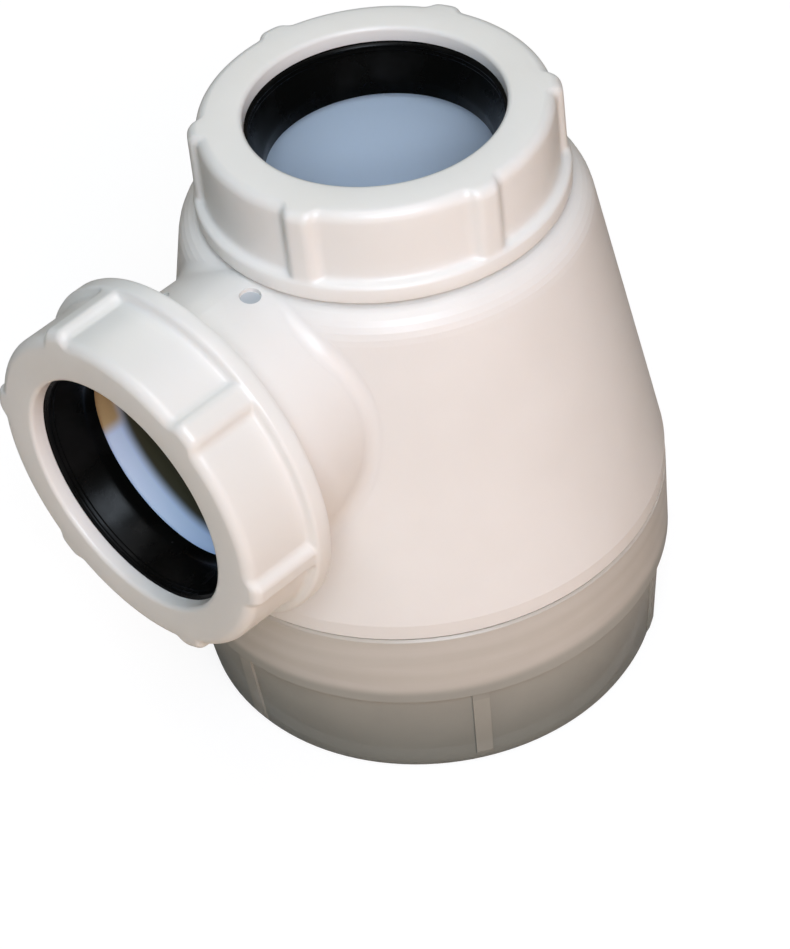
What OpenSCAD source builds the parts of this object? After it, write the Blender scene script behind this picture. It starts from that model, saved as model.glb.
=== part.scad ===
// Condensate trap: a bell-shaped bottle trap with a screwed cup below, a compression nut on the
// inlet at the top and the same nut on the outlet at the side.
// Millimetres. Z runs up the inlet axis and z = 0 is the flat bottom of the cup. The outlet runs along -X.

/* [Waste pipe] */
// Outside diameter of the pipe that both seals grip
pipe_d = 40; // [32:0.5:44]
// Gap between the pipe and the tip of each seal, on the radius
grip_gap = 0.15; // [0.1:0.05:0.4]
// Gap between the pipe and the wall of its socket, on the radius
socket_gap = 2; // [1:0.1:2.5]
// How far the pipe goes past the face of a nut before its stop
inlet_depth = 37; // [28:0.5:45]
// The same at the outlet
outlet_depth = 26; // [20:0.5:27]

/* [Heights and reach] */
// Height of the outlet axis
outlet_z = 79; // [74:0.5:100]
// How far the face of the inlet nut stands above the outlet axis
inlet_rise = 42.2; // [41:0.1:60]
// How far the face of the outlet nut stands out past the lower edge of the body
outlet_reach = 20.1; // [17:0.1:45]

/* [Compression nuts] */
// Height of a nut from its face to the bottom of its flange
nut_h = 17; // [15:0.1:18]
// Thickness of the end wall that holds the seal
nut_wall = 1.9; // [1.5:0.1:2.5]
// Thickness of a nut round its thread
nut_side = 3.4; // [2.8:0.1:4.5]
// Radius of the rounded edge between the face of a nut and its barrel
nut_round = 1.7; // [0.8:0.1:2.5]
// How far the flange stands out past the barrel
flange_out = 2.1; // [1.5:0.1:4]
// Thickness of the flange
flange_t = 3.2; // [2:0.1:4]
// Number of grip ribs on a nut
rib_n = 6; // [3:1:12]
// Width of a grip rib at its root
rib_w = 6; // [3:0.1:8]
// Height of a grip rib at the face end
rib_h = 1.2; // [0.8:0.1:1.6]
// Turn of the ribs on the inlet nut, in degrees
inlet_rib_turn = 19.8; // [0:0.1:60]
// Turn of the ribs on the outlet nut, in degrees
outlet_rib_turn = 20.5; // [0:0.1:60]

/* [Nut threads] */
// Pitch of the nut threads
nut_pitch = 3.5; // [3:0.1:4]
// Turns of thread on each side
nut_turns = 2.5; // [1.5:0.25:2.5]
// Height of a thread ridge
thread_h = 1.5; // [1:0.1:1.8]
// Clearance between a crest and the root it faces
thread_gap = 0.4; // [0.3:0.05:0.6]

/* [Seals] */
// Length of the straight land at the tip of a seal
seal_land = 2.4; // [1.5:0.1:3]
// Width of the outer end of a seal past its tip, on the radius
seal_flare = 2.05; // [1.2:0.05:2.4]
// Length of a seal
seal_l = 10.6; // [8:0.1:11.5]
// Thickness of the flange that the nut presses
seal_flange_t = 2.7; // [2:0.1:3.5]
// Thickness of the wedge below the flange
seal_wedge_t = 1.4; // [1:0.1:1.8]

/* [Trap body] */
// Lean of the cone towards the inlet axis, in degrees
cone_lean = 10.4; // [6:0.1:11]
// Radius of the rounded shoulder
shoulder_round = 6.6; // [4:0.2:10]
// Height of the upright band at the lower edge
band_h = 3.4; // [2:0.1:6]
// Thickness of the body wall
wall_t = 2.3; // [1.8:0.1:3]
// Radius of the plain part of the outlet neck
neck_r = 24.7; // [24.4:0.1:27]
// How much thicker a neck is under its thread, on the radius
spigot_step = 0.9; // [0.6:0.1:1.5]
// Bore left by the pipe stop, smaller than the socket by this much on the radius
stop_step = 3; // [1.5:0.1:5]
// Wall of the dip tube
tube_t = 2; // [1.5:0.1:2.5]
// Height of the open end of the dip tube
tube_end_z = 11; // [8:0.5:20]
// Diameter of the two round gate marks on the outlet neck
mark_d = 3.8; // [2:0.1:6]
// Distance of the first gate mark behind the outlet nut
mark_back = 14.8; // [12:0.1:16]
// Distance of the second gate mark behind the outlet nut
mark_back_2 = 7; // [5:0.1:11]

/* [Cup] */
// Height of the rim of the cup
cup_h = 38.2; // [34:0.2:44]
// Radius of the cup round its thread
cup_r = 47.2; // [46:0.1:60]
// How much narrower the lower part of the cup is, on the radius
cup_step = 1.5; // [0.8:0.1:1.6]
// Wall of the cup round its thread
cup_wall = 2.3; // [1.8:0.1:2.6]
// Thickness of the floor of the cup
cup_floor = 2; // [1.5:0.1:3]
// Height of the ledge that carries the cup seal
ledge_z = 21.1; // [18:0.1:24]
// Number of grip ribs round the cup
cup_rib_n = 6; // [3:1:24]
// Width of a cup rib
cup_rib_w = 3.2; // [2:0.1:6]
// How far a cup rib stands out past the lower part of the cup
cup_rib_out = 0.5; // [0.3:0.1:1.4]
// Turn of the cup ribs, in degrees
cup_rib_turn = 56.5; // [0:0.5:120]
// Pitch of the cup thread
cup_pitch = 4.5; // [4:0.1:5]
// Turns of the cup thread on each side
cup_turns = 2.25; // [1.5:0.25:2.25]
// Thickness of the cup seal
cup_seal_t = 2.8; // [2:0.1:3.2]

/* [Hidden] */
$fn = 96;

// gap left between faces that meet but belong to different pieces
seat = 0.3;
// depth that one solid is sunk into another of the same piece
sink = 0.5;

pipe_r = pipe_d / 2;
seal_tip_r = pipe_r + grip_gap;
seal_top_r = seal_tip_r + seal_flare;
nut_bore_r = seal_top_r + 0.5;
socket_r = pipe_r + socket_gap;

// spigots: both carry the same thread and the same seat for a seal
spigot_r = neck_r + spigot_step;
crest_r = spigot_r + thread_h;
root_r = crest_r + thread_gap;
nut_crest_r = root_r - thread_h;
nut_r = root_r + nut_side;
flange_r = nut_r + flange_out;
seal_flange_r = root_r - 0.4;
// depth of the end of a spigot below the face of its nut
spigot_drop = nut_wall + seal_flange_t;
// outer radius of the wedge of a seal at both ends
wedge_tip_r = seal_tip_r + seal_wedge_t;
wedge_root_r = min(seal_top_r + seal_wedge_t, spigot_r - 1.6);
// start of the male and female threads, below the face of the nut
male_start = spigot_drop + 1.2;
female_start = spigot_drop + 1.9;

// body: its lower edge stands a little inside the rim of the cup
rim_gap = 0.1;
body_r = cup_r - rim_gap;
inlet_z = outlet_z + inlet_rise;
outlet_x = body_r + outlet_reach;
nut_back_x = outlet_x - nut_h;
neck_base_z = inlet_z - nut_h - 0.8;
band_top_z = cup_h + seat + band_h;
// the cone runs into the rounded shoulder without an edge
shoulder_z = neck_base_z - shoulder_round * (1 - sin(cone_lean));
shoulder_r = body_r - (shoulder_z - band_top_z) * tan(cone_lean);
skirt_r = cup_r - cup_wall - thread_gap - thread_h;
skirt_low_z = ledge_z + cup_seal_t;
cup_root_r = cup_r - cup_wall;
cup_low_r = cup_r - cup_step;
tube_r = socket_r + tube_t;
inlet_stop_z = inlet_z - inlet_depth;
tube_bore_r = socket_r - stop_step;
thread_angle = 10;

// points along a quarter of an arc from angle a to angle b about (x, y)
function arc(x, y, r, a, b, n = 6) = [
    for (i = [0 : n])
        let (t = a + (b - a) * i / n)
            [x + r * cos(t), y + r * sin(t)]
];

// line over the rounded shoulder, from the top of the cone to the foot of the inlet spigot
function shoulder_line(off, n) =
    let (r = shoulder_round)
        arc(shoulder_r - r * cos(cone_lean), shoulder_z - r * sin(cone_lean), r - off, cone_lean, 90, n);

// how far a thread ridge has grown at step i of n: it runs out at both ends
function runout(i, n) = min(1, min(i, n - i) / 4);

// one ring of four points of a thread ridge at step i
function thread_ring(i, n, r0, r1, wide, narrow, pitch) =
    let (
        a = i * thread_angle,
        z = pitch * a / 360,
        k = runout(i, n),
        rt = r0 + (r1 - r0) * (0.15 + 0.85 * k),
        w0 = wide / 2,
        w1 = narrow / 2,
        c = cos(a),
        s = sin(a)
    )
    [
        [r0 * c, r0 * s, z - w0],
        [rt * c, rt * s, z - w1],
        [rt * c, rt * s, z + w1],
        [r0 * c, r0 * s, z + w0]
    ];

// right-hand thread ridge that climbs +Z from z = 0, rooted at r0 and cresting at r1
module thread(r0, r1, wide, narrow, pitch, turns) {
    n = round(turns * 360 / thread_angle);
    pts = [
        for (i = [0 : n])
            for (p = thread_ring(i, n, r0, r1, wide, narrow, pitch))
                p
    ];
    out = r1 < r0;
    sides = [
        for (i = [0 : n - 1])
            for (j = [0 : 3])
                for (h = [0 : 1])
                    let (
                        a = 4 * i + j,
                        b = 4 * i + (j + 1) % 4,
                        f = h == 0 ? [a, a + 4, b] : [b, a + 4, b + 4]
                    )
                    out ? f : [f[2], f[1], f[0]]
    ];
    ends = [
        out ? [0, 1, 2, 3] : [3, 2, 1, 0],
        out ? [4 * n + 3, 4 * n + 2, 4 * n + 1, 4 * n] : [4 * n, 4 * n + 1, 4 * n + 2, 4 * n + 3]
    ];
    polyhedron(points = pts, faces = concat(sides, ends), convexity = 10);
}

// a nut lies with its face at z = 0 and opens downwards
module nut_barrel() {
    rotate_extrude()
        polygon(concat(
            [
                [root_r, -nut_h],
                [root_r, -nut_wall],
                [nut_bore_r, -nut_wall],
                [nut_bore_r, -0.9],
                [nut_bore_r + 0.25, -0.45],
                [nut_bore_r + 0.8, -0.12],
                [nut_bore_r + 1.6, 0]
            ],
            arc(nut_r - nut_round, -nut_round, nut_round, 90, 0, 6),
            [
                [nut_r + 0.1, -nut_h + flange_t + 1.2],
                [nut_r + 0.5, -nut_h + flange_t + 0.6],
                [flange_r - 0.9, -nut_h + flange_t + 0.3],
                [flange_r - 0.2, -nut_h + flange_t],
                [flange_r, -nut_h + flange_t - 0.4],
                [flange_r, -nut_h + 0.4],
                [flange_r - 0.4, -nut_h]
            ]
        ));
}

// outer limit of the grip ribs: a steep cone with a rounded top end, its foot on the flange
module rib_limit() {
    top_r = nut_r + rib_h;
    foot_r = min(top_r + 0.35, flange_r - 0.2);
    rotate_extrude()
        polygon([
            [nut_r - 4, -0.6],
            [nut_r - 1.2, -0.3],
            [top_r - 1.1, -0.45],
            [top_r - 0.4, -1.0],
            [top_r, -1.9],
            [top_r + 0.05, -2.8],
            [foot_r, -nut_h + flange_t + 0.4],
            [foot_r, -nut_h + 1],
            [nut_r - 4, -nut_h + 1]
        ]);
}

// one straight rib with sloping sides, round the barrel at turn a
module rib_bar(a) {
    rotate([0, 0, a])
        translate([nut_r - 1.6, 0, -nut_h])
            linear_extrude(height = nut_h)
                polygon([
                    [0, -rib_w / 2 - 0.6],
                    [1.5, -rib_w / 2],
                    [3.0, -rib_w / 2 + 0.8],
                    [8, -rib_w / 2 + 1.2],
                    [8, rib_w / 2 - 1.2],
                    [3.0, rib_w / 2 - 0.8],
                    [1.5, rib_w / 2],
                    [0, rib_w / 2 + 0.6]
                ]);
}

module nut(turn) {
    union() {
        nut_barrel();
        intersection() {
            rib_limit();
            union() {
                for (i = [0 : rib_n - 1])
                    rib_bar(turn + i * 360 / rib_n);
            }
        }
        translate([0, 0, -female_start - nut_pitch * nut_turns])
            rotate([0, 0, nut_pitch > 0 ? nut_phase() : 0])
                thread(root_r + sink, nut_crest_r, 2.1, 0.9, nut_pitch, nut_turns);
    }
}

// turn that sets the female ridge half way between two turns of the male ridge
function nut_phase() =
    360 * (male_start - female_start + nut_pitch / 2) / nut_pitch;

// a seal lies under the end wall of its nut, its tip pointing down
module seal() {
    top = -nut_wall;
    tip = -nut_wall - seal_l;
    rotate_extrude()
        polygon([
            [seal_top_r, top],
            [seal_top_r, top - 2.2],
            [seal_top_r - 0.45, top - 2.7],
            [seal_tip_r, tip + seal_land + 0.3],
            [seal_tip_r, tip + 0.3],
            [seal_tip_r + 0.3, tip],
            [wedge_tip_r - 0.3, tip],
            [wedge_tip_r, tip + 0.4],
            [wedge_root_r, -spigot_drop],
            [seal_flange_r, -spigot_drop],
            [seal_flange_r, top]
        ]);
}

// end of a spigot below the face of its nut: outer solid only
module spigot(length) {
    union() {
        rotate_extrude()
            polygon([
                [0, -length],
                [neck_r, -length],
                [neck_r, -nut_h - 0.2],
                [spigot_r, -nut_h + 0.6],
                [spigot_r, -spigot_drop - 0.4],
                [spigot_r - 0.4, -spigot_drop],
                [0, -spigot_drop]
            ]);
        translate([0, 0, -male_start - nut_pitch * nut_turns])
            thread(spigot_r - sink, crest_r, 2.2, 0.9, nut_pitch, nut_turns);
    }
}

// hollow of a spigot: a mouth for the wedge of the seal, then the socket down to the stop
module spigot_mouth(depth) {
    mouth = -nut_wall - seal_l - 0.6;
    rotate_extrude()
        polygon([
            [0, 1],
            [wedge_root_r + seat, 1],
            [wedge_root_r + seat, -spigot_drop],
            [max(wedge_tip_r + seat, socket_r), mouth],
            [socket_r, mouth - 0.2],
            [socket_r, -depth],
            [0, -depth]
        ]);
}

module at_inlet() {
    translate([0, 0, inlet_z])
        children();
}

module at_outlet() {
    translate([-outlet_x, 0, outlet_z])
        rotate([0, -90, 0])
            children();
}

// bell outside: upright band, cone and rounded shoulder, down to the threaded skirt
module bell_outside() {
    rotate_extrude()
        polygon(concat(
            [
                [0, skirt_low_z],
                [skirt_r - 0.4, skirt_low_z],
                [skirt_r, skirt_low_z + 0.4],
                [skirt_r, cup_h + seat],
                [body_r - 0.3, cup_h + seat],
                [body_r, cup_h + seat + 0.3],
                [body_r, band_top_z]
            ],
            shoulder_line(0, 8),
            [[0, neck_base_z]]
        ));
}

// hollow of the bell, one wall in from the outside
module bell_inside() {
    rotate_extrude()
        polygon(concat(
            [
                [0, skirt_low_z - 1],
                [skirt_r - wall_t, skirt_low_z - 1],
                [skirt_r - wall_t, cup_h + seat - 1],
                [body_r - wall_t, band_top_z + 1]
            ],
            shoulder_line(wall_t, 5),
            [[0, neck_base_z - wall_t]]
        ));
}

// moulded bell with both spigots, the dip tube and the threaded skirt, all one piece
module trap_body() {
    color([0.93, 0.93, 0.90])
        union() {
            difference() {
                union() {
                    bell_outside();
                    at_inlet()
                        spigot(inlet_z - neck_base_z + 1);
                    intersection() {
                        at_outlet()
                            spigot(outlet_x - tube_r - 2);
                        translate([-outlet_x, -neck_r - 5, outlet_z - neck_r - 5])
                            cube([outlet_x, 2 * neck_r + 10, 2 * neck_r + 10]);
                    }
                }
                bell_inside();
                at_inlet()
                    spigot_mouth(inlet_depth);
                at_outlet()
                    spigot_mouth(outlet_depth);
                at_outlet()
                    translate([0, 0, -outlet_x + tube_r + 3])
                        cylinder(h = outlet_x - tube_r - 3, r = tube_bore_r);
                gate_mark(96.8, nut_back_x - mark_back);
                gate_mark(61.2, nut_back_x - mark_back_2);
            }
            dip_tube();
            translate([0, 0, skirt_low_z + 1.6])
                thread(skirt_r - sink, skirt_r + thread_h, 2.4, 1.1, cup_pitch, cup_turns);
        }
}

// dip tube inside the bell, bored to the socket above its stop
module dip_tube() {
    difference() {
        translate([0, 0, tube_end_z])
            cylinder(h = neck_base_z - wall_t / 2 - tube_end_z, r = tube_r);
        translate([0, 0, inlet_stop_z])
            cylinder(h = neck_base_z - inlet_stop_z, r = socket_r);
        translate([0, 0, tube_end_z - 1])
            cylinder(h = inlet_z - tube_end_z, r = tube_bore_r);
    }
}

// shallow round gate mark on top of the outlet neck, at angle a and distance x from the axis
module gate_mark(a, x) {
    translate([-x, 0, outlet_z])
        rotate([a - 90, 0, 0])
            translate([0, 0, neck_r - 0.9])
                cylinder(h = 4, d = mark_d, $fn = 32);
}

module inlet_nut() {
    color([0.94, 0.93, 0.90])
        at_inlet()
            nut(inlet_rib_turn);
}

module outlet_nut() {
    color([0.94, 0.93, 0.90])
        at_outlet()
            nut(outlet_rib_turn);
}

module inlet_seal() {
    color([0.06, 0.06, 0.06])
        at_inlet()
            seal();
}

module outlet_seal() {
    color([0.06, 0.06, 0.06])
        at_outlet()
            seal();
}

// wall and floor of the cup, without its ribs and thread
module cup_shell() {
    rotate_extrude()
        polygon([
            [0, 0],
            [cup_low_r - 4.2, 0],
            [cup_low_r - 3.2, 0.25],
            [cup_low_r - 2.3, 1.0],
            [cup_low_r - 1.7, 2.2],
            [cup_low_r - 1.4, 4.2],
            [cup_low_r, ledge_z + 0.2],
            [cup_r, ledge_z + 1.2],
            [cup_r, cup_h - 0.4],
            [cup_r - 0.4, cup_h],
            [cup_root_r + 0.3, cup_h],
            [cup_root_r, cup_h - 0.4],
            [cup_root_r, ledge_z],
            [cup_root_r - 2.9, ledge_z],
            [cup_root_r - 2.9, ledge_z - 1.6],
            [cup_low_r - 2.4, ledge_z - 3.2],
            [cup_low_r - 3.6, 5.0],
            [cup_low_r - 4.4, cup_floor + 1.0],
            [cup_low_r - 5.7, cup_floor],
            [0, cup_floor]
        ]);
}

// outer limit of the cup ribs: it follows the tapered wall and ends in the step above
module cup_rib_limit() {
    rotate_extrude()
        polygon([
            [cup_low_r - 2.6, 2.5],
            [cup_low_r - 1.7, 2.5],
            [cup_low_r - 1.4 + cup_rib_out, 4.3],
            [cup_low_r + cup_rib_out, ledge_z + 0.2],
            [cup_low_r + cup_rib_out, ledge_z + 0.9],
            [cup_root_r + 0.2, ledge_z + 0.9],
            [cup_root_r + 0.2, ledge_z - 1],
            [cup_low_r - 2.6, 5]
        ]);
}

// upright ribs round the lower part of the cup
module cup_ribs() {
    intersection() {
        cup_rib_limit();
        union() {
            for (i = [0 : cup_rib_n - 1])
                rotate([0, 0, cup_rib_turn + i * 360 / cup_rib_n])
                    translate([cup_low_r - 5, -cup_rib_w / 2, 0])
                        cube([10, cup_rib_w, ledge_z + 2]);
        }
    }
}

module cup() {
    color([0.72, 0.74, 0.70, 0.6])
        union() {
            cup_shell();
            cup_ribs();
            translate([0, 0, skirt_low_z + 3])
                rotate([0, 0, 360 * (1.4 - cup_pitch / 2) / cup_pitch])
                    thread(cup_root_r + sink, cup_root_r - thread_h, 2.3, 1.1, cup_pitch, cup_turns);
        }
}

module cup_seal() {
    color([0.85, 0.85, 0.82])
        translate([0, 0, ledge_z])
            difference() {
                cylinder(h = cup_seal_t, r = cup_root_r - 0.4);
                translate([0, 0, -1])
                    cylinder(h = cup_seal_t + 2, r = cup_root_r - 3.2);
            }
}

trap_body();
inlet_nut();
inlet_seal();
outlet_nut();
outlet_seal();
cup();
cup_seal();
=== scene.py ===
"""Looks of the condensate trap: moulded nuts, lipped seals, neck fillet, finishes, studio and camera."""
import math

import bpy
from mathutils import Matrix, Vector
from mathutils.kdtree import KDTree


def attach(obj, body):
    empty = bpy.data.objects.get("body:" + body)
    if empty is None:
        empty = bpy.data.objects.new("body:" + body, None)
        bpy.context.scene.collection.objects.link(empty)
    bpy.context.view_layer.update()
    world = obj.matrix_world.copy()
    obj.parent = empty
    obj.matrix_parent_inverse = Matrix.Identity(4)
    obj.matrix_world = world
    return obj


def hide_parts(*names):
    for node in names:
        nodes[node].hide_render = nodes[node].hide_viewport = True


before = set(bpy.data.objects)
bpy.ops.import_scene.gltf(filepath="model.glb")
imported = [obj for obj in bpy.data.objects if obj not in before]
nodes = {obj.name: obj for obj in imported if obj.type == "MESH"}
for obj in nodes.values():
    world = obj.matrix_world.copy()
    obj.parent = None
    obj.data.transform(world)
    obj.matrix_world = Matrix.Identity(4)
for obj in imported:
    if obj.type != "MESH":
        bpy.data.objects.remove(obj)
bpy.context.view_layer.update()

MM = 0.001


def spread(name):
    """Low and high corner of a CAD node, in mm."""
    corners = [nodes[name].matrix_world @ Vector(corner) for corner in nodes[name].bound_box]
    low = [min(corner[i] for corner in corners) / MM for i in range(3)]
    high = [max(corner[i] for corner in corners) / MM for i in range(3)]
    return low, high


# sizes of the model in mm, from the frame where it shows them and else as in its source
inlet_low, inlet_high = spread("inlet_nut")
outlet_low, outlet_high = spread("outlet_nut")
INLET_Z = inlet_high[2]
OUTLET_X = -outlet_low[0]
OUTLET_Z = (outlet_low[2] + outlet_high[2]) / 2
NUT_H = inlet_high[2] - inlet_low[2]
FLANGE_R = (inlet_high[1] - inlet_low[1]) / 2
FLANGE_T = 3.2
NUT_R = FLANGE_R - 2.1
NUT_WALL = 1.9
NUT_BORE = 22.7
NUT_ROOT = 27.5
NUT_CREST = 26.0
NUT_PITCH = 3.5
NUT_TURNS = 2.5
NUT_RIBS = 6
INLET_RIB_TURN = 19.8
OUTLET_RIB_TURN = 20.5
SEAL_TIP_R = 20.15
SEAL_TOP_R = SEAL_TIP_R + 2.05
SEAL_L = 10.6
SPIGOT_DROP = 4.6
NECK_R = 24.7
CUP_PITCH = 4.5
CUP_RIBS = 6
CUP_RIB_TURN = 56.5
# the bell: its cone, and the arc of the shoulder
BELL_R = 47.1
BAND_TOP_Z = 41.9
CONE_LEAN = math.radians(10.4)
SHOULDER_ROUND = 6.6
SHOULDER_TOP = INLET_Z - NUT_H - 0.8
SHOULDER_Z = SHOULDER_TOP - SHOULDER_ROUND * (1 - math.sin(CONE_LEAN))
SHOULDER_R = BELL_R - (SHOULDER_Z - BAND_TOP_Z) * math.tan(CONE_LEAN)
SHOULDER_CENTRE_R = SHOULDER_R - SHOULDER_ROUND * math.cos(CONE_LEAN)
SHOULDER_CENTRE_Z = SHOULDER_Z - SHOULDER_ROUND * math.sin(CONE_LEAN)

# sizes in mm and counts that only the dressed pieces have; the hair gap keeps a seal clear of its nut
NUT_ROUND = 2.1
NUT_LIP_DEPTH = 2.9
RIB_H = 1.4
RIB_ROUND = 2.0
RIB_TOP_R = NUT_R + RIB_H
NUT_STEPS = 90
SEAL_STEPS = 240
HAIR_GAP = 0.02
FILLET_R = 4.0

# places in mm of the painted light and shade on the body: the painted light and shade in the two bores, and
# the painted shade in the gate marks of the outlet neck, each with its angle from +Y round the neck in
# degrees and its distance from the inlet axis
LIT_R = 22.4
LIT_INLET_Z = 50.0
LIT_OUTLET_X = -24.2
# the outlet bore has painted shade past its stop, and painted warm light at its upper side
PAINTED_SHADE_X = (-50.6, -48.0)
PAINTED_WARM_LIGHT_Z = (70.8, 73.8)
GATE_MARKS = ((96.8, 35.4), (61.2, 43.2))
GATE_MARK_R = 1.87
NECK_SKIN_R = 22.0

# heights in mm at which the cup's wall changes its look
CUP_FOOT_Z = (2.0, 25.0)
CUP_RIB_FOOT_Z = (2.0, 4.0)
CUP_RIB_TOP_Z = 19.6
CUP_COLLAR_Z = (24.0, 26.2)


# shader maths
class Amount:
    """A number that varies over a surface. Arithmetic on it adds Math nodes."""

    def __init__(self, tree, socket):
        self.tree = tree
        self.socket = socket

    def maths(self, operation, first, second):
        node = self.tree.nodes.new("ShaderNodeMath")
        node.operation = operation
        for place, value in zip(node.inputs, (first, second)):
            if isinstance(value, Amount):
                self.tree.links.new(value.socket, place)
            else:
                place.default_value = value
        return Amount(self.tree, node.outputs[0])

    def __add__(self, other):
        return self.maths("ADD", self, other)

    def __radd__(self, other):
        return self.maths("ADD", other, self)

    def __sub__(self, other):
        return self.maths("SUBTRACT", self, other)

    def __rsub__(self, other):
        return self.maths("SUBTRACT", other, self)

    def __mul__(self, other):
        return self.maths("MULTIPLY", self, other)

    def __rmul__(self, other):
        return self.maths("MULTIPLY", other, self)

    def __lt__(self, other):
        return self.maths("LESS_THAN", self, other)

    def __gt__(self, other):
        return self.maths("GREATER_THAN", self, other)

    def root(self):
        return self.maths("POWER", self, 0.5)


class Finish:
    """A material under construction. add() makes every node other than the maths, its settings first."""

    def __init__(self, name):
        self.material = bpy.data.materials.new(name)
        self.material.use_nodes = True
        self.tree = self.material.node_tree
        self.tree.nodes.clear()
        self.place = self.add("ShaderNodeTexCoord", {}, {}, "Object")

    def add(self, kind, settings, sockets, output=0):
        node = self.tree.nodes.new(kind)
        for name, value in settings.items():
            setattr(node, name, value)
        for name, value in sockets.items():
            place = node.inputs[name]
            if isinstance(value, Amount):
                self.tree.links.new(value.socket, place)
            else:
                place.default_value = value
        return Amount(self.tree, node.outputs[output])

    def axes(self):
        """The x, y and z of a point of the piece, in metres."""
        return [self.add("ShaderNodeSeparateXYZ", {}, {"Vector": self.place}, axis) for axis in "XYZ"]

    def noise(self, scale, detail=3.0, roughness=0.5, stretch=None):
        place = self.place
        if stretch:
            place = self.add("ShaderNodeMapping", {}, {"Vector": place, "Scale": stretch})
        return self.add("ShaderNodeTexNoise", {}, {
            "Vector": place, "Scale": scale, "Detail": detail, "Roughness": roughness,
        }, "Fac")

    def between(self, value, low, high):
        """0 below low, 1 above high and a soft step on the way."""
        return self.add("ShaderNodeMapRange", {"interpolation_type": "SMOOTHSTEP"}, {
            "Value": value, "From Min": low, "From Max": high,
        })

    def colour(self, share, first, second):
        return self.add("ShaderNodeMix", {"data_type": "RGBA"}, {0: share, 6: first, 7: second}, 2)

    def bump(self, height, distance, strength):
        sockets = {"Height": height, "Distance": distance, "Strength": strength}
        return self.add("ShaderNodeBump", {}, sockets, "Normal")

    def close(self, surface):
        end = self.tree.nodes.new("ShaderNodeOutputMaterial")
        self.tree.links.new(surface.socket, end.inputs["Surface"])
        return self.material


def specks(finish, scale, size, share):
    """1 inside a few tiny specks, at most one in each cell of the given scale."""
    cells = {"Vector": finish.place, "Scale": scale}
    near = finish.add("ShaderNodeTexVoronoi", {}, cells, "Distance")
    cell = finish.add("ShaderNodeTexVoronoi", {}, cells, "Color")
    chance = finish.add("ShaderNodeSeparateColor", {}, {"Color": cell}, "Red")
    return (1 - finish.between(near, size * 0.5, size)) * (chance < share)


def gate_mark(x, y, z, angle, away):
    """1 inside a round mark on the skin of the outlet neck, placed as GATE_MARKS says."""
    a = math.radians(angle)
    above = z - OUTLET_Z * MM
    across = y * math.sin(a) - above * math.cos(a)
    out = y * math.cos(a) + above * math.sin(a)
    along = x + away * MM
    return (across * across + along * along < (GATE_MARK_R * MM) ** 2) * (out > NECK_SKIN_R * MM)


def light_inside(finish, shade, cloud):
    """Painted light, shade and glow of the body with its two bores.

    Painted cool light in both stands for light through their thin walls, and the outlet also glows with it.
    The outlet has painted shade past its stop, painted brownish warm light at its upper side, and painted
    shade in its gate marks.
    """
    # painted shade past the outlet's stop, and painted warm light on its upper side
    painted_shade_colour, painted_warm_light_colour = (0.085, 0.08, 0.045, 1), (0.72, 0.52, 0.26, 1)
    # painted cool light in the inlet bore, and painted shade in the recesses of the gate marks
    painted_inlet_light_colour, painted_mark_shade_colour = (0.64, 0.72, 0.82, 1), (0.33, 0.37, 0.41, 1)
    # a painted glow of cool light in the outlet bore
    no_glow, painted_cool_glow = (0, 0, 0, 1), (0.045, 0.125, 0.28, 1)
    ragged = 0.6 * MM * cloud
    x, y, z = finish.axes()
    above = z - OUTLET_Z * MM
    from_inlet = (x * x + y * y).root()
    from_outlet = (y * y + above * above).root()
    in_inlet = (from_inlet < LIT_R * MM) * (z > LIT_INLET_Z * MM)
    in_outlet = (from_outlet < LIT_R * MM) * (x < LIT_OUTLET_X * MM)
    # painted shade in the outlet past its stop, its edge ragged like a shadow's
    painted_deep_shade = finish.between(x + ragged, PAINTED_SHADE_X[0] * MM, PAINTED_SHADE_X[1] * MM) * in_outlet
    # painted warm light on the outlet's upper side
    painted_warm_light = finish.between(z, PAINTED_WARM_LIGHT_Z[0] * MM, PAINTED_WARM_LIGHT_Z[1] * MM) * in_outlet * (1 - painted_deep_shade)
    # where the recesses of the gate marks get painted shade
    marks = gate_mark(x, y, z, *GATE_MARKS[0]) + gate_mark(x, y, z, *GATE_MARKS[1])
    painted = finish.colour(painted_deep_shade, shade, painted_shade_colour)
    painted = finish.colour(painted_warm_light, painted, painted_warm_light_colour)
    painted = finish.colour(in_inlet, painted, painted_inlet_light_colour)
    painted = finish.colour(marks * 0.75, painted, painted_mark_shade_colour)
    # the rest of the outlet bore glows with painted cool light
    glow = finish.colour(in_outlet * (1 - painted_deep_shade) * (1 - painted_warm_light), no_glow, painted_cool_glow)
    return painted, glow


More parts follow.
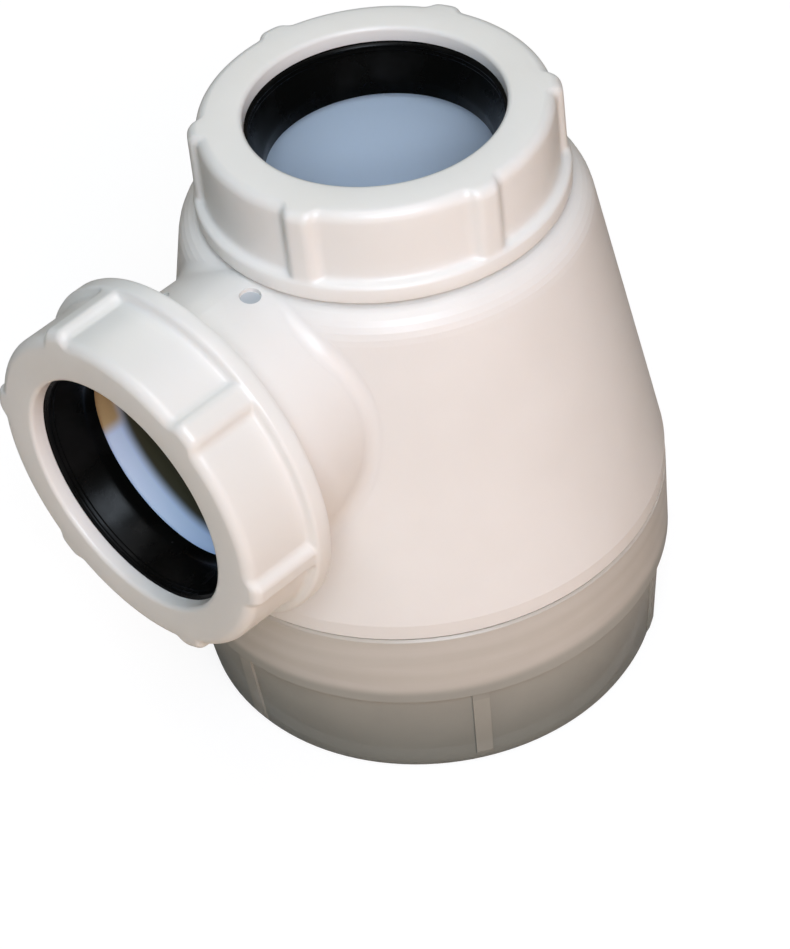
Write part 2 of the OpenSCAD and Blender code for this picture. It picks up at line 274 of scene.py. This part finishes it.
def moulded_plastic(name, clean, shaded, gloss, hollow=False):
    """Satin white polypropylene: faint flow marks, orange peel and a few grey specks."""
    finish = Finish(name)
    cloud = finish.between(finish.noise(24.0), 0.38, 0.66)
    flow = finish.noise(60.0, 3.0, 0.6, (1.0, 1.0, 0.25))
    peel = finish.noise(1100.0, 2.0)
    scuffs = finish.between(finish.noise(260.0, 5.0, 0.65), 0.56, 0.72)
    dots = specks(finish, 62.0, 0.022, 0.34)
    dot_colour = (0.16, 0.15, 0.13, 1)
    shade = finish.colour(cloud * 0.8, (*clean, 1), (*shaded, 1))
    shade = finish.colour(dots * 0.7, shade, dot_colour)
    painted_glow_sockets = {}
    # the body's finish adds painted light and shade in its bores and gate marks, and a painted glow in the
    # outlet bore
    if hollow:
        shade, glow = light_inside(finish, shade, cloud)
        painted_glow_sockets = {"Emission Color": glow, "Emission Strength": 1.0}
    return finish.close(finish.add("ShaderNodeBsdfPrincipled", {}, {
        "Base Color": shade,
        "Roughness": gloss + 0.09 * flow + 0.07 * scuffs,
        "Normal": finish.bump(peel * 0.5 + flow * 1.5, 0.06 * MM, 0.5),
        "IOR": 1.49,
        "Subsurface Weight": 0.12,
        "Subsurface Radius": (1.0, 0.85, 0.7),
        "Subsurface Scale": 2.5 * MM,
        **painted_glow_sockets,
    }))


def black_rubber(name):
    """Moulded black rubber, fairly glossy, with a fine grain and faint pale dust."""
    clean, smeared, dusty = (0.0022, 0.0024, 0.0022, 1), (0.0045, 0.0045, 0.0045, 1), (0.10, 0.10, 0.10, 1)
    finish = Finish(name)
    grain = finish.noise(1600.0)
    smear = finish.between(finish.noise(90.0, 4.0, 0.6), 0.45, 0.7)
    dust = specks(finish, 210.0, 0.05, 0.25)
    shade = finish.colour(smear, clean, smeared)
    return finish.close(finish.add("ShaderNodeBsdfPrincipled", {}, {
        "Base Color": finish.colour(dust * 0.2, shade, dusty),
        "Roughness": 0.26 + 0.14 * smear + 0.2 * dust,
        "Normal": finish.bump(grain, 0.03 * MM, 0.4),
        "IOR": 1.2,
    }))


def clouded_plastic(name):
    """Natural polypropylene of the cup: grey below, paler in its collar round the thread and on the ribs."""
    foot_colour, top_colour = (0.205, 0.218, 0.195, 1), (0.40, 0.40, 0.36, 1)
    cloud_colour, rib_colour = (0.16, 0.16, 0.13, 1), (0.50, 0.48, 0.42, 1)
    valley_colour, ridge_colour = (0.66, 0.635, 0.575, 1), (0.70, 0.675, 0.62, 1)
    streak_colour = (0.60, 0.57, 0.50, 1)
    rib_core, rib_edge = math.radians(1.7), math.radians(2.2)
    finish = Finish(name)
    x, y, z = finish.axes()
    cloud = finish.between(finish.noise(40.0), 0.35, 0.68)
    streak = finish.between(finish.noise(70.0, 3.0, 0.6, (0.25, 0.25, 3.0)), 0.45, 0.65)
    peel = finish.noise(900.0, 2.0)
    rub = finish.between(finish.noise(190.0, 5.0, 0.65), 0.52, 0.72)
    angle = x.maths("ARCTAN2", y, x)
    # stripes that climb as the thread does, and the angle to the nearest rib
    threads = angle.maths("SINE", z * (2 * math.pi / CUP_PITCH / MM) - angle, 0) * 0.5 + 0.5
    off_rib = angle.maths("PINGPONG", angle + math.radians(360 - CUP_RIB_TURN), math.pi / CUP_RIBS)
    on_rib = 1 - finish.between(off_rib, rib_core, rib_edge)
    rib_foot = finish.between(z, CUP_RIB_FOOT_Z[0] * MM, CUP_RIB_FOOT_Z[1] * MM)
    on_rib = on_rib * rib_foot * (z < CUP_RIB_TOP_Z * MM)
    collar = finish.between(z + 0.4 * MM * cloud, CUP_COLLAR_Z[0] * MM, CUP_COLLAR_Z[1] * MM)
    low = finish.colour(finish.between(z, CUP_FOOT_Z[0] * MM, CUP_FOOT_Z[1] * MM), foot_colour, top_colour)
    low = finish.colour(cloud * 0.12, low, cloud_colour)
    low = finish.colour(on_rib * 0.26, low, rib_colour)
    high = finish.colour(threads, valley_colour, ridge_colour)
    high = finish.colour(streak * 0.3, high, streak_colour)
    return finish.close(finish.add("ShaderNodeBsdfPrincipled", {}, {
        "Base Color": finish.colour(collar, low, high),
        "Alpha": 0.93 - 0.13 * collar - 0.03 * cloud,
        "Roughness": 0.34 + 0.12 * rub,
        "Normal": finish.bump(peel, 0.05 * MM, 0.5),
        "IOR": 1.49,
    }))


def matt_washer(name):
    """Pale matt elastomer of the washer in the cup."""
    finish = Finish(name)
    tone = finish.noise(120.0, 4.0)
    grain = finish.noise(2000.0, 2.0)
    return finish.close(finish.add("ShaderNodeBsdfPrincipled", {}, {
        "Base Color": finish.colour(tone, (0.62, 0.60, 0.54, 1), (0.70, 0.68, 0.62, 1)),
        "Roughness": 0.6 + 0.2 * grain,
        "Normal": finish.bump(grain, 0.04 * MM, 0.6),
    }))


# hollow=True gives the body the painted light, shade and glow of its bores and the painted shade of its gate
# marks
white = moulded_plastic("white_bell_plastic", (0.80, 0.79, 0.76), (0.76, 0.745, 0.71), 0.30, hollow=True)
nut_white = moulded_plastic("white_nut_plastic", (0.81, 0.81, 0.78), (0.77, 0.765, 0.725), 0.27)
rubber = black_rubber("black_seal_rubber")
clouded = clouded_plastic("clouded_cup_plastic")
washer = matt_washer("pale_washer_rubber")

for name, material in (
    ("trap_body", white), ("inlet_nut", nut_white), ("outlet_nut", nut_white),
    ("inlet_seal", rubber), ("outlet_seal", rubber), ("cup", clouded), ("cup_seal", washer),
):
    nodes[name].data.materials.clear()
    nodes[name].data.materials.append(material)


# modelling
def editing(piece):
    """Opens a piece in edit mode with all of it selected."""
    bpy.ops.object.select_all(action="DESELECT")
    bpy.context.view_layer.objects.active = piece
    piece.select_set(True)
    bpy.ops.object.mode_set(mode="EDIT")
    bpy.ops.mesh.select_all(action="SELECT")


def done():
    """Leaves edit mode with nothing selected."""
    bpy.ops.object.mode_set(mode="OBJECT")
    bpy.ops.object.select_all(action="DESELECT")


def turned(name, outline, steps):
    """A closed ring turned about Z from its outline, a list of (radius, height) in mm."""
    bpy.ops.object.select_all(action="DESELECT")
    bpy.ops.mesh.primitive_plane_add(size=2 * MM, location=(0, 0, 0))
    ring = bpy.context.object
    ring.name = name
    ring.data.name = name
    # the plane becomes one point, which is drawn out along the outline
    bpy.ops.object.mode_set(mode="EDIT")
    bpy.ops.mesh.merge(type="CENTER")
    bpy.ops.transform.translate(value=(outline[0][0] * MM, 0, outline[0][1] * MM))
    for (r0, z0), (r1, z1) in zip(outline, outline[1:]):
        move = {"value": ((r1 - r0) * MM, 0, (z1 - z0) * MM)}
        bpy.ops.mesh.extrude_region_move(TRANSFORM_OT_translate=move)
    done()
    # an edge joins its two ends, and the closed outline is spun
    for index in (0, len(ring.data.vertices) - 1):
        ring.data.vertices[index].select = True
    bpy.context.view_layer.objects.active = ring
    ring.select_set(True)
    bpy.ops.object.mode_set(mode="EDIT")
    bpy.ops.mesh.edge_face_add()
    bpy.ops.mesh.select_all(action="SELECT")
    bpy.ops.mesh.spin(steps=steps, angle=2 * math.pi, center=(0, 0, 0), axis=(0, 0, 1))
    bpy.ops.mesh.select_all(action="SELECT")
    bpy.ops.mesh.remove_doubles(threshold=0.002 * MM)
    bpy.ops.mesh.normals_make_consistent(inside=False)
    done()
    return ring


def joined(name, pieces):
    """One object of several pieces, which keep their own faces."""
    bpy.ops.object.select_all(action="DESELECT")
    for piece in pieces:
        piece.select_set(True)
    bpy.context.view_layer.objects.active = pieces[0]
    bpy.ops.object.join()
    pieces[0].name = name
    pieces[0].select_set(False)
    return pieces[0]


def settle(piece, place, material, body, node=None):
    """Puts a piece in its place, smooths it and lets it stand for a CAD node, if one is given."""
    piece.data.transform(place)
    bpy.ops.object.select_all(action="DESELECT")
    bpy.context.view_layer.objects.active = piece
    piece.select_set(True)
    bpy.ops.object.shade_smooth_by_angle(angle=math.radians(38))
    piece.select_set(False)
    piece.data.materials.clear()
    piece.data.materials.append(material)
    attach(piece, body)
    if node:
        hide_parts(node)


def arc(x, y, radius, first, last, n):
    """Points along an arc, in mm, from one angle to another in degrees."""
    return [
        (x + radius * math.cos(math.radians(first + (last - first) * i / n)),
         y + radius * math.sin(math.radians(first + (last - first) * i / n)))
        for i in range(n + 1)
    ]


def line(a, b, n):
    """n points on the way from a to b, without a."""
    return [(a[0] + (b[0] - a[0]) * i / n, a[1] + (b[1] - a[1]) * i / n) for i in range(1, n + 1)]


def smooth(share):
    """A soft step from 0 to 1."""
    share = min(1.0, max(0.0, share))
    return share * share * (3 - 2 * share)


def nut_thread(name, start, turn):
    """The nut's right-hand ridge, swept round Z by a Screw modifier from a height in mm, its ends run out."""
    root, foot_w, crest_w = NUT_ROOT + 0.5, 2.1, 0.9
    steps_a_turn = 48
    run_out = 0.9
    rise = NUT_PITCH * NUT_TURNS
    bpy.ops.object.select_all(action="DESELECT")
    bpy.ops.mesh.primitive_plane_add(size=2 * MM, location=(0, 0, 0))
    ridge = bpy.context.object
    ridge.name = name
    corners = [(root, -foot_w / 2), (NUT_CREST, -crest_w / 2), (root, foot_w / 2), (NUT_CREST, crest_w / 2)]
    for vertex, (r, z) in zip(ridge.data.vertices, corners):
        vertex.co = (r * MM, 0, z * MM)
    editing(ridge)
    bpy.ops.mesh.delete(type="ONLY_FACE")
    done()
    screw = ridge.modifiers.new("turns", "SCREW")
    screw.angle = 2 * math.pi * NUT_TURNS
    screw.screw_offset = rise * MM
    screw.steps = screw.render_steps = int(NUT_TURNS * steps_a_turn)
    screw.use_merge_vertices = False
    bpy.context.view_layer.objects.active = ridge
    bpy.ops.object.modifier_apply(modifier="turns")
    for vertex in ridge.data.vertices:
        x, y, z = vertex.co
        r = math.hypot(x, y)
        if abs(r - root * MM) > 0.01 * MM:
            off_middle = abs(z / MM - rise / 2)
            grown = smooth((rise / 2 - off_middle) / run_out + 0.3)
            wanted = root + (NUT_CREST - root) * (0.1 + 0.9 * grown)
            vertex.co = (x * wanted * MM / r, y * wanted * MM / r, z)
    editing(ridge)
    bpy.ops.mesh.fill_holes(sides=4)
    bpy.ops.mesh.select_all(action="SELECT")
    bpy.ops.mesh.normals_make_consistent(inside=False)
    done()
    ridge.data.transform(Matrix.Translation((0, 0, start * MM)) @ Matrix.Rotation(turn, 4, "Z"))
    return ridge


def rib_section():
    """Half of a grip rib and of the panel beside it.

    Each step gives mm along the barrel and the share of the rib's height: a flat top, a round that bulges,
    a round that runs into the barrel, and the plain panel, with its steps closer together near the rib.
    """
    flat, convex, concave, lean = 0.9, 2.2, 2.2, math.radians(45)
    flat_steps, round_steps = 5, 7
    slope = RIB_H - (convex + concave) * (1 - math.sin(lean))
    points = [(flat * i / flat_steps, 1.0) for i in range(flat_steps)]
    for i in range(round_steps + 1):
        t = math.pi / 2 + (lean - math.pi / 2) * i / round_steps
        points.append((flat + convex * math.cos(t), (RIB_H - convex + convex * math.sin(t)) / RIB_H))
    foot = points[-1][0] + slope * math.tan(lean) + concave * math.cos(lean)
    for i in range(round_steps + 1):
        t = lean + (math.pi / 2 - lean) * i / round_steps
        points.append((foot - concave * math.cos(t), (concave - concave * math.sin(t)) / RIB_H))
    panel_steps = NUT_STEPS // 2 - len(points) + 1
    end = NUT_R * math.pi / NUT_RIBS
    for i in range(1, panel_steps + 1):
        u = i / panel_steps
        points.append((foot + (end - foot) * (0.3 * u + 0.7 * u * u), 0.0))
    return points


def nearest(outline):
    """A tree that finds the point of an outline that lies nearest to a vertex."""
    tree = KDTree(len(outline))
    for index, (r, z) in enumerate(outline):
        tree.insert((r, z, 0), index)
    tree.balance()
    return tree


def nut_outlines():
    """Face, barrel, rib and hollow of a nut with its face at z = 0, each a list of (radius, height) in mm.

    The rib has as many points as the barrel, because each point of the barrel is drawn out to one of the rib.
    """
    foot = -NUT_H + FLANGE_T
    face = [
        (NUT_BORE + 0.5, -NUT_WALL), (NUT_BORE + 0.45, -NUT_LIP_DEPTH + 0.05),
        (NUT_BORE + 0.15, -NUT_LIP_DEPTH), (NUT_BORE, -NUT_LIP_DEPTH + 0.15),
        (NUT_BORE, -0.75), (NUT_BORE + 0.1, -0.45), (NUT_BORE + 0.3, -0.2),
        (NUT_BORE + 0.6, -0.05), (NUT_BORE + 1.0, 0), (NUT_BORE + 4.6, 0),
    ]
    barrel = arc(NUT_R - NUT_ROUND, -NUT_ROUND, NUT_ROUND, 90, 0, 9)
    barrel += line((NUT_R, -NUT_ROUND), (NUT_R + 0.1, foot + 1.2), 10)
    barrel += [
        (NUT_R + 0.2, foot + 0.8), (NUT_R + 0.42, foot + 0.48), (NUT_R + 0.8, foot + 0.28),
        (FLANGE_R - 0.75, foot + 0.16), (FLANGE_R - 0.42, foot + 0.02), (FLANGE_R - 0.14, foot - 0.22),
        (FLANGE_R, foot - 0.6),
    ]
    rib = arc(RIB_TOP_R - RIB_ROUND, -RIB_ROUND - 0.05, RIB_ROUND, 90, 0, 9)
    rib += line((RIB_TOP_R, -RIB_ROUND - 0.05), (RIB_TOP_R + 0.2, foot + 0.9), 10)
    rib += [
        (RIB_TOP_R + 0.23, foot + 0.62), (RIB_TOP_R + 0.27, foot + 0.42), (RIB_TOP_R + 0.32, foot + 0.25),
        (RIB_TOP_R + 0.38, foot + 0.1), (FLANGE_R - 0.24, foot - 0.05), (FLANGE_R - 0.1, foot - 0.26),
        (FLANGE_R, foot - 0.6),
    ]
    hollow = [
        (FLANGE_R, -NUT_H + 0.9), (FLANGE_R, -NUT_H + 0.5), (FLANGE_R - 0.14, -NUT_H + 0.14),
        (FLANGE_R - 0.5, -NUT_H), (NUT_ROOT + 2.0, -NUT_H), (NUT_ROOT + 0.4, -NUT_H),
        (NUT_ROOT, -NUT_H + 0.4), (NUT_ROOT, -NUT_WALL),
    ]
    return face, barrel, rib, hollow


def compression_nut(name, turn):
    """A nut with its face at z = 0: a turned barrel whose wall is drawn out into six soft grip ribs."""
    face, barrel, rib, hollow = nut_outlines()
    outline = face + barrel + hollow
    around = NUT_RIBS * NUT_STEPS
    nut = turned(name, outline, around)
    tree = nearest(outline)
    section = rib_section()
    for vertex in nut.data.vertices:
        x, y, z = (value / MM for value in vertex.co)
        r = math.hypot(x, y)
        step = round(math.atan2(y, x) * around / (2 * math.pi))
        rib_at = math.floor(step / NUT_STEPS + 0.5)
        aside = step - rib_at * NUT_STEPS
        along, share = section[abs(aside)]
        angle = rib_at * 2 * math.pi / NUT_RIBS + math.copysign(along / NUT_R, aside)
        index = tree.find((r, z, 0))[1] - len(face)
        if 0 <= index < len(barrel):
            r += (rib[index][0] - barrel[index][0]) * share
            z += (rib[index][1] - barrel[index][1]) * share
        vertex.co = (r * math.cos(angle) * MM, r * math.sin(angle) * MM, z * MM)
    nut.data.transform(Matrix.Rotation(math.radians(turn), 4, "Z"))
    # below the face, the nut's ridge starts lower than the spigot's, and it lies half a pitch off that one
    spigot_start, nut_start = SPIGOT_DROP + 1.2, SPIGOT_DROP + 1.9
    phase = 2 * math.pi * (spigot_start - nut_start + NUT_PITCH / 2) / NUT_PITCH
    ridge = nut_thread(name + "_thread", -nut_start - NUT_PITCH * NUT_TURNS, phase)
    return joined(name, [nut, ridge])


def lip_seal(name):
    """A seal, its nut's face at z = 0: a pressed flange, two fine lips and a wedge down to the tip."""
    top = -NUT_WALL - HAIR_GAP
    tip = -NUT_WALL - SEAL_L
    under = -NUT_LIP_DEPTH - 0.1
    lip_round, lip_pitch = 0.42, 0.8
    outline = [
        (NUT_BORE + 0.8, top), (NUT_BORE + 0.65, top - 0.15), (NUT_BORE + 0.65, under),
        (SEAL_TOP_R + 0.35, under - 0.04), (SEAL_TOP_R + 0.12, under - 0.2),
    ]
    for i in range(2):
        outline += arc(SEAL_TOP_R + 0.34 - 0.1 * i, under - 0.6 - lip_pitch * i, lip_round, 150, 210, 6)
    outline += [(SEAL_TOP_R - 0.22, top - 3.0)]
    outline += line((SEAL_TOP_R - 0.4, top - 3.4), (SEAL_TIP_R + 0.12, tip + 3.0), 6)
    outline += [
        (SEAL_TIP_R + 0.02, tip + 2.6), (SEAL_TIP_R, tip + 2.2),
        (SEAL_TIP_R, tip + 1.2), (SEAL_TIP_R, tip + 0.5),
    ]
    outline += arc(SEAL_TIP_R + 0.45, tip + 0.45, 0.45, 180, 270, 5)
    outline += arc(SEAL_TIP_R + 1.0, tip + 0.4, 0.4, 270, 360, 4)
    outline += [
        (SEAL_TIP_R + 3.45, -SPIGOT_DROP - 0.3), (SEAL_TIP_R + 3.6, -SPIGOT_DROP),
        (NUT_ROOT - 0.6, -SPIGOT_DROP), (NUT_ROOT - 0.4, -SPIGOT_DROP + 0.2),
        (NUT_ROOT - 0.4, top - 0.2), (NUT_ROOT - 0.6, top),
    ]
    return turned(name, outline, SEAL_STEPS)


def bell_radius(z):
    """Radius of the bell outside at height z, up to the top of the shoulder."""
    if z <= SHOULDER_Z:
        return BELL_R - (z - BAND_TOP_Z) * math.tan(CONE_LEAN)
    return SHOULDER_CENTRE_R + math.sqrt(max(0.0, SHOULDER_ROUND ** 2 - (z - SHOULDER_CENTRE_Z) ** 2))


def rolling_ball(angle, radius):
    """Where a ball rests in the corner between the outlet neck and the bell: its centre and both contacts."""
    y = (NECK_R + radius) * math.sin(angle)
    z = OUTLET_Z + (NECK_R + radius) * math.cos(angle)
    if z <= SHOULDER_Z + radius * math.sin(CONE_LEAN):
        under = z - radius * math.sin(CONE_LEAN)
        away = bell_radius(under) + radius * math.cos(CONE_LEAN)
        lean = CONE_LEAN
    else:
        rise = min(z - SHOULDER_CENTRE_Z, SHOULDER_ROUND + radius - 0.001)
        away = SHOULDER_CENTRE_R + math.sqrt((SHOULDER_ROUND + radius) ** 2 - rise ** 2)
        lean = math.asin(rise / (SHOULDER_ROUND + radius))
    x = -math.sqrt(max(0.0, away ** 2 - y ** 2))
    centre = Vector((x, y, z))
    on_neck = Vector((x, NECK_R * math.sin(angle), OUTLET_Z + NECK_R * math.cos(angle)))
    flat = Vector((x / away, y / away, 0)) * math.cos(lean)
    on_bell = centre - radius * (flat + Vector((0, 0, math.sin(lean))))
    return centre, on_neck, on_bell


def neck_fillet(name, radius):
    """The soft corner between the outlet neck and the bell: a torus laid into the path of a rolling ball.

    Of the places round its section, most lie on the ball between its contacts, and the last three are sunk.
    """
    around, section, last_on_ball = 240, 16, 12
    sunk = 0.6
    corner_sunk = 0.7
    bpy.ops.object.select_all(action="DESELECT")
    bpy.ops.mesh.primitive_torus_add(
        major_segments=around, minor_segments=section, major_radius=NECK_R * MM, minor_radius=MM)
    ring = bpy.context.object
    ring.name = name
    first = math.acos(min(0.99, (SHOULDER_TOP - OUTLET_Z + radius) / (NECK_R + radius))) + 0.02
    for index, vertex in enumerate(ring.data.vertices):
        step, place = divmod(index, section)
        angle = first + (2 * math.pi - 2 * first) * step / (around - 1)
        centre, on_neck, on_bell = rolling_ball(angle, radius)
        to_neck, to_bell = on_neck - centre, on_bell - centre
        inward = Vector((0, -math.sin(angle), -math.cos(angle)))
        if place <= last_on_ball:
            spot = centre + to_neck.slerp(to_bell, place / last_on_ball).normalized() * radius
        elif place == last_on_ball + 1:
            spot = on_bell + to_bell.normalized() * sunk
        elif place == last_on_ball + 2:
            y, z = NECK_R * math.sin(angle), OUTLET_Z + NECK_R * math.cos(angle)
            corner = Vector((-math.sqrt(bell_radius(z) ** 2 - y ** 2), y, z))
            spot = corner + inward * corner_sunk + Vector((corner_sunk, 0, 0))
        else:
            spot = on_neck + inward * sunk
        vertex.co = spot * MM
    editing(ring)
    bpy.ops.mesh.normals_make_consistent(inside=False)
    done()
    return ring


at_inlet = Matrix.Translation((0, 0, INLET_Z * MM))
facing_out = Matrix.Rotation(math.radians(-90), 4, "Y")
at_outlet = Matrix.Translation((-OUTLET_X * MM, 0, OUTLET_Z * MM)) @ facing_out
for side, turn, place in (("inlet", INLET_RIB_TURN, at_inlet), ("outlet", OUTLET_RIB_TURN, at_outlet)):
    nut = compression_nut(side + "_nut_moulded", turn)
    settle(nut, place, nut_white, side + "_nut_ring", side + "_nut")
    seal = lip_seal(side + "_seal_lipped")
    settle(seal, place, rubber, side + "_seal_ring", side + "_seal")
fillet = neck_fillet("neck_fillet", FILLET_R)
settle(fillet, Matrix.Identity(4), white, "trap")


# studio
WHITE = (1, 1, 1, 1)


def pale_floor():
    """A pale floor that keeps the shadow near the trap, is white further off and bounces warm light."""
    dimmer_grey, grey = (0.86, 0.86, 0.86, 1), (0.88, 0.88, 0.88, 1)
    warm_bounce, mirrored_grey = (0.76, 0.66, 0.52, 1), (0.34, 0.34, 0.34, 1)
    shadow_end, floor_end = 0.15, 0.5
    bpy.ops.object.select_all(action="DESELECT")
    bpy.ops.mesh.primitive_plane_add(size=6.0, location=(0, 0, 0))
    floor = bpy.context.object
    floor.name = "floor"
    finish = Finish("pale_floor")
    x, y = finish.axes()[:2]
    tone = finish.noise(6.0)
    lit = finish.add("ShaderNodeBsdfDiffuse", {}, {
        "Color": finish.colour(tone, dimmer_grey, grey), "Roughness": 0.4,
    })
    white_card = finish.add("ShaderNodeEmission", {}, {"Color": WHITE, "Strength": 1.10})
    seen = finish.add("ShaderNodeLightPath", {}, {}, "Is Camera Ray")
    mirrored = finish.add("ShaderNodeLightPath", {}, {}, "Is Glossy Ray")
    warm = finish.add("ShaderNodeBsdfDiffuse", {}, {
        "Color": finish.colour(mirrored, warm_bounce, mirrored_grey), "Roughness": 0.4,
    })
    away = finish.between((x * x + y * y).root(), shadow_end, floor_end)
    card_share = 0.8 + 0.2 * away
    shown = finish.add("ShaderNodeMixShader", {}, {0: card_share, 1: lit, 2: white_card})
    either = finish.add("ShaderNodeMixShader", {}, {0: seen, 1: warm, 2: shown})
    floor.data.materials.append(finish.close(either))


def soft_world():
    """Faint warm air round the object, seen as a white card."""
    world = bpy.data.worlds.new("studio_air")
    bpy.context.scene.world = world
    world.use_nodes = True
    tree = world.node_tree
    tree.nodes.clear()
    path = tree.nodes.new("ShaderNodeLightPath")
    air = tree.nodes.new("ShaderNodeBackground")
    air.inputs["Color"].default_value = (1.0, 0.94, 0.84, 1)
    air.inputs["Strength"].default_value = 0.055
    card = tree.nodes.new("ShaderNodeBackground")
    card.inputs["Color"].default_value = WHITE
    card.inputs["Strength"].default_value = 1.0
    mix = tree.nodes.new("ShaderNodeMixShader")
    end = tree.nodes.new("ShaderNodeOutputWorld")
    seen = Amount(tree, path.outputs["Is Camera Ray"]) + Amount(tree, path.outputs["Is Transmission Ray"])
    tree.links.new(seen.socket, mix.inputs[0])
    tree.links.new(air.outputs[0], mix.inputs[1])
    tree.links.new(card.outputs[0], mix.inputs[2])
    tree.links.new(mix.outputs[0], end.inputs["Surface"])


def softbox(name, azimuth, elevation, size, power, colour):
    """A lamp 1 m from the middle of the trap and aimed at it. Azimuth 0 is at -Y and 90 at +X."""
    middle = Vector((-0.01, 0.0, 0.06))
    a, e = math.radians(azimuth), math.radians(elevation)
    away = Vector((math.sin(a) * math.cos(e), -math.cos(a) * math.cos(e), math.sin(e)))
    data = bpy.data.lights.new(name, "AREA")
    data.shape = "RECTANGLE"
    data.size, data.size_y = size
    data.energy = power
    data.color = colour
    light = bpy.data.objects.new(name, data)
    bpy.context.scene.collection.objects.link(light)
    light.location = middle + away
    light.rotation_euler = (-away).to_track_quat("-Z", "Y").to_euler()
    return light


def camera():
    """The camera at the photograph's viewing angle, as fitted to the outlines of the trap."""
    data = bpy.data.cameras.new("camera")
    data.sensor_width = 36.0
    data.sensor_fit = "AUTO"
    data.lens = 108.214
    data.clip_start = 0.01
    data.clip_end = 20.0
    eye = bpy.data.objects.new("camera", data)
    bpy.context.scene.collection.objects.link(eye)
    eye.location = (-0.26764, -0.29684, 0.40298)
    eye.rotation_euler = [math.radians(degrees) for degrees in (47.1882, 5.2026, -46.2355)]
    bpy.context.scene.camera = eye


pale_floor()
soft_world()
softbox("front_softbox", -37, 45, (0.45, 0.45), 7.05, (0.78, 0.88, 1.0))
warm_softbox = softbox("low_warm_softbox", -20, 12, (0.5, 0.35), 3.0, (1.0, 0.56, 0.40))
warm_softbox.visible_glossy = False
softbox("top_softbox", -42, 82, (0.5, 0.5), 2.8, (0.97, 0.98, 1.0))
softbox("back_softbox", 138, 45, (0.45, 0.45), 1.15, (1.0, 0.90, 0.74))
camera()
bpy.context.scene.view_settings.view_transform = "Standard"
